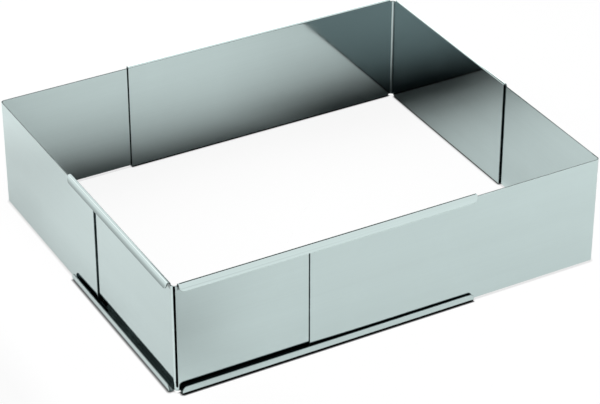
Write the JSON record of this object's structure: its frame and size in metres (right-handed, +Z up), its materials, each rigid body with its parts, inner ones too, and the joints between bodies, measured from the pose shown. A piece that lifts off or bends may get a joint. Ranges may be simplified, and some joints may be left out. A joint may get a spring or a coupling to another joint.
{
  "type": "adjustable baking frame",
  "caption": "Bottomless rectangular baking frame of bent stainless sheet: plain corners slide in the curled rails of railed corners to set its length and width.",
  "frame": {"origin": "middle of the frame, on the surface it stands on", "axes": "+X along the long walls towards the right-hand corner, +Y along the short walls to the back, +Z up"},
  "size_m": [0.3318, 0.2778, 0.085],
  "materials": {
    "stainless_sheet": "satin cold-rolled stainless sheet"
  },
  "bodies": {
    "front_corner": {"front_corner": "stainless_sheet"},
    "right_corner": {"right_corner": "stainless_sheet"},
    "left_corner": {"left_corner": "stainless_sheet"},
    "back_corner": {"back_corner": "stainless_sheet"}
  },
  "joints": [
    {"name": "length_slide", "type": "slide", "parent": "front_corner", "child": "right_corner", "axis": [1, 0, 0], "range_m": [-0.0975, 0.1025]},
    {"name": "width_slide", "type": "slide", "parent": "front_corner", "child": "left_corner", "axis": [0, 1, 0], "range_m": [-0.1155, 0.0125]},
    {"name": "back_width_slide", "type": "slide", "parent": "right_corner", "child": "back_corner", "axis": [0, 1, 0], "range_m": [-0.1155, 0.0125]}
  ],
  "couplings": [
    {"joint": "back_width_slide", "follows": "width_slide", "ratio": 1}
  ]
}
